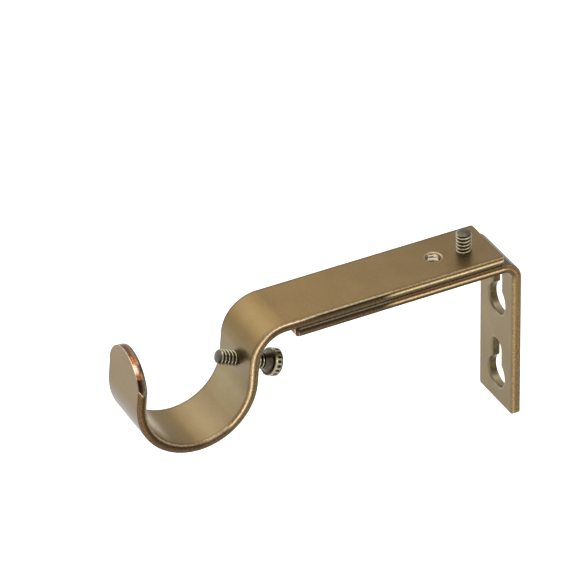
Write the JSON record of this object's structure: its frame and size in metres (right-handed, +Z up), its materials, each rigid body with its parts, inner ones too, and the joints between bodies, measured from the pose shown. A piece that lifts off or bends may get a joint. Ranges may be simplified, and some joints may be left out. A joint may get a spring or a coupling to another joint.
{
  "type": "curtain pole bracket",
  "caption": "Wall bracket for a curtain pole: an L-shaped wall strip with keyholes carries a sliding hooked arm, locked by a thumb screw, with another to hold the pole.",
  "frame": {"origin": "on the back face of the wall plate, midway between the centres of the round entries of its two keyholes", "axes": "+X out from the wall along the arm towards the hook, +Z up, +Y across the strips, so that the plane through the middle of the strips' width is the one of X and Z"},
  "size_m": [0.1263, 0.02, 0.0651],
  "materials": {
    "gold_strip": "satin antique gold paint on steel strip",
    "bronze_screw": "darkened brass, bright on the thread crests and the knurled rim"
  },
  "bodies": {
    "wall": {"wall_bracket": "gold_strip"},
    "arm": {"hook_arm": "gold_strip"},
    "rod_clamp": {"rod_clamp_screw": "bronze_screw"},
    "arm_lock": {"arm_lock_screw": "bronze_screw"}
  },
  "joints": [
    {"name": "arm_slide", "type": "slide", "parent": "wall", "child": "arm", "axis": [1, 0, 0], "range_m": [0, 0.052]},
    {"name": "rod_clamp_travel", "type": "slide", "parent": "arm", "child": "rod_clamp", "axis": [0.915, 0, 0.4035], "range_m": [-0.0055, 0.0045]},
    {"name": "arm_lock_travel", "type": "slide", "parent": "arm", "child": "arm_lock", "axis": [0, 0, 1], "range_m": [-0.0035, 0]}
  ]
}
